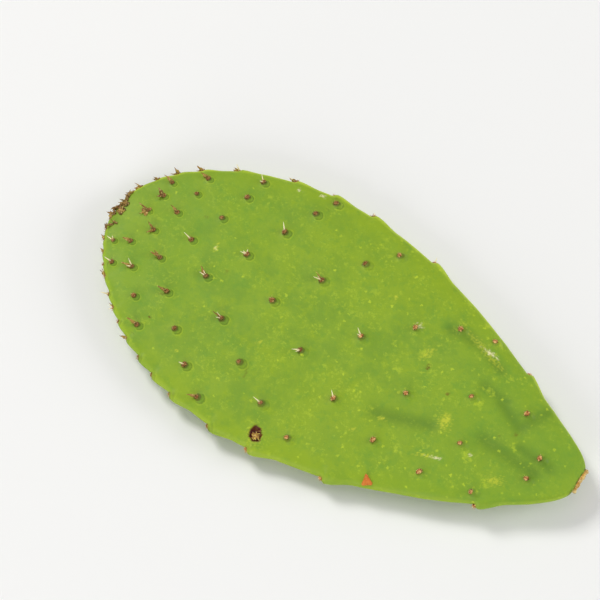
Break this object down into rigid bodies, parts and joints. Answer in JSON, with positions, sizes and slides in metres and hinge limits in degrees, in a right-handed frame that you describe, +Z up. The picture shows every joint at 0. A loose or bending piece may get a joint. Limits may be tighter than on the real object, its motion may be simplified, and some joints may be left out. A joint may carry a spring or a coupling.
{
  "type": "prickly pear cactus pad",
  "caption": "Flat green obovate cactus pad lying down, with a scalloped rim, rows of small woolly areoles with short spines and dried leaves, and a corky cut base.",
  "frame": {"origin": "on the floor, under the middle of the pad's bounding box", "axes": "+X from the rounded tip to the cut base, +Y across the pad, +Z up"},
  "size_m": [0.3063, 0.164, 0.0242],
  "materials": {
    "pad_skin": "waxy matte plant skin",
    "areole_wool": "short dense brown wool and bristles",
    "spine": "dry horny cream-white spine",
    "dried_leaf": "dry shrivelled leaf, tan to red-brown",
    "base_cork": "rough dry cork"
  },
  "bodies": {
    "root": {"cactus_pad": "pad_skin"}
  },
  "joints": []
}
